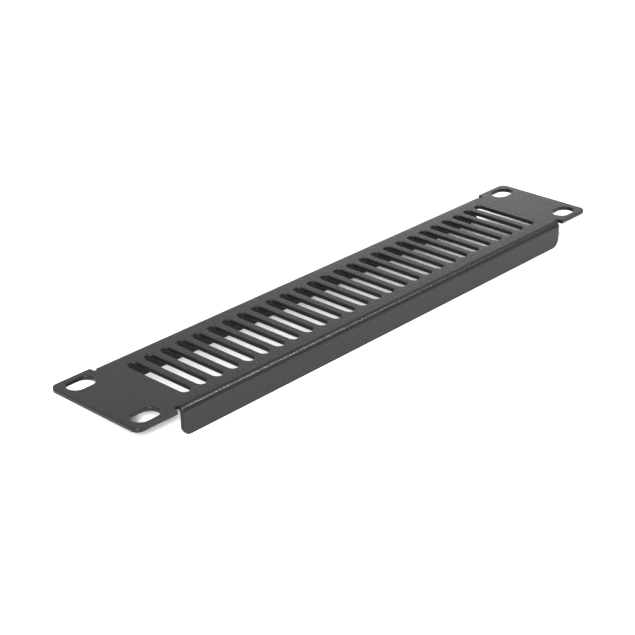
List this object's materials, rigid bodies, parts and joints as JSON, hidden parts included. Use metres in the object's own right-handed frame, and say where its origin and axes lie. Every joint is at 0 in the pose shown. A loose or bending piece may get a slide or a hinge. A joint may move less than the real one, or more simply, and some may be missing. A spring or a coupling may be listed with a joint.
{
  "type": "rack blanking panel",
  "caption": "Flat vented cover folded from one steel sheet, with screw slots in its two ears and a shallow flange along each long edge, closing an empty space in a small equipment rack.",
  "frame": {"origin": "midway between the four screw slots, on the rear face of the ears, which seats on the rack's uprights", "axes": "+X along the panel's length, +Y up its height as it is screwed to a rack, +Z out of its front face"},
  "size_m": [0.254, 0.0436, 0.011],
  "materials": {
    "powder_coat": "fine-grained matt powder coat, dark grey"
  },
  "bodies": {
    "root": {"blanking_panel": "powder_coat"}
  },
  "joints": []
}
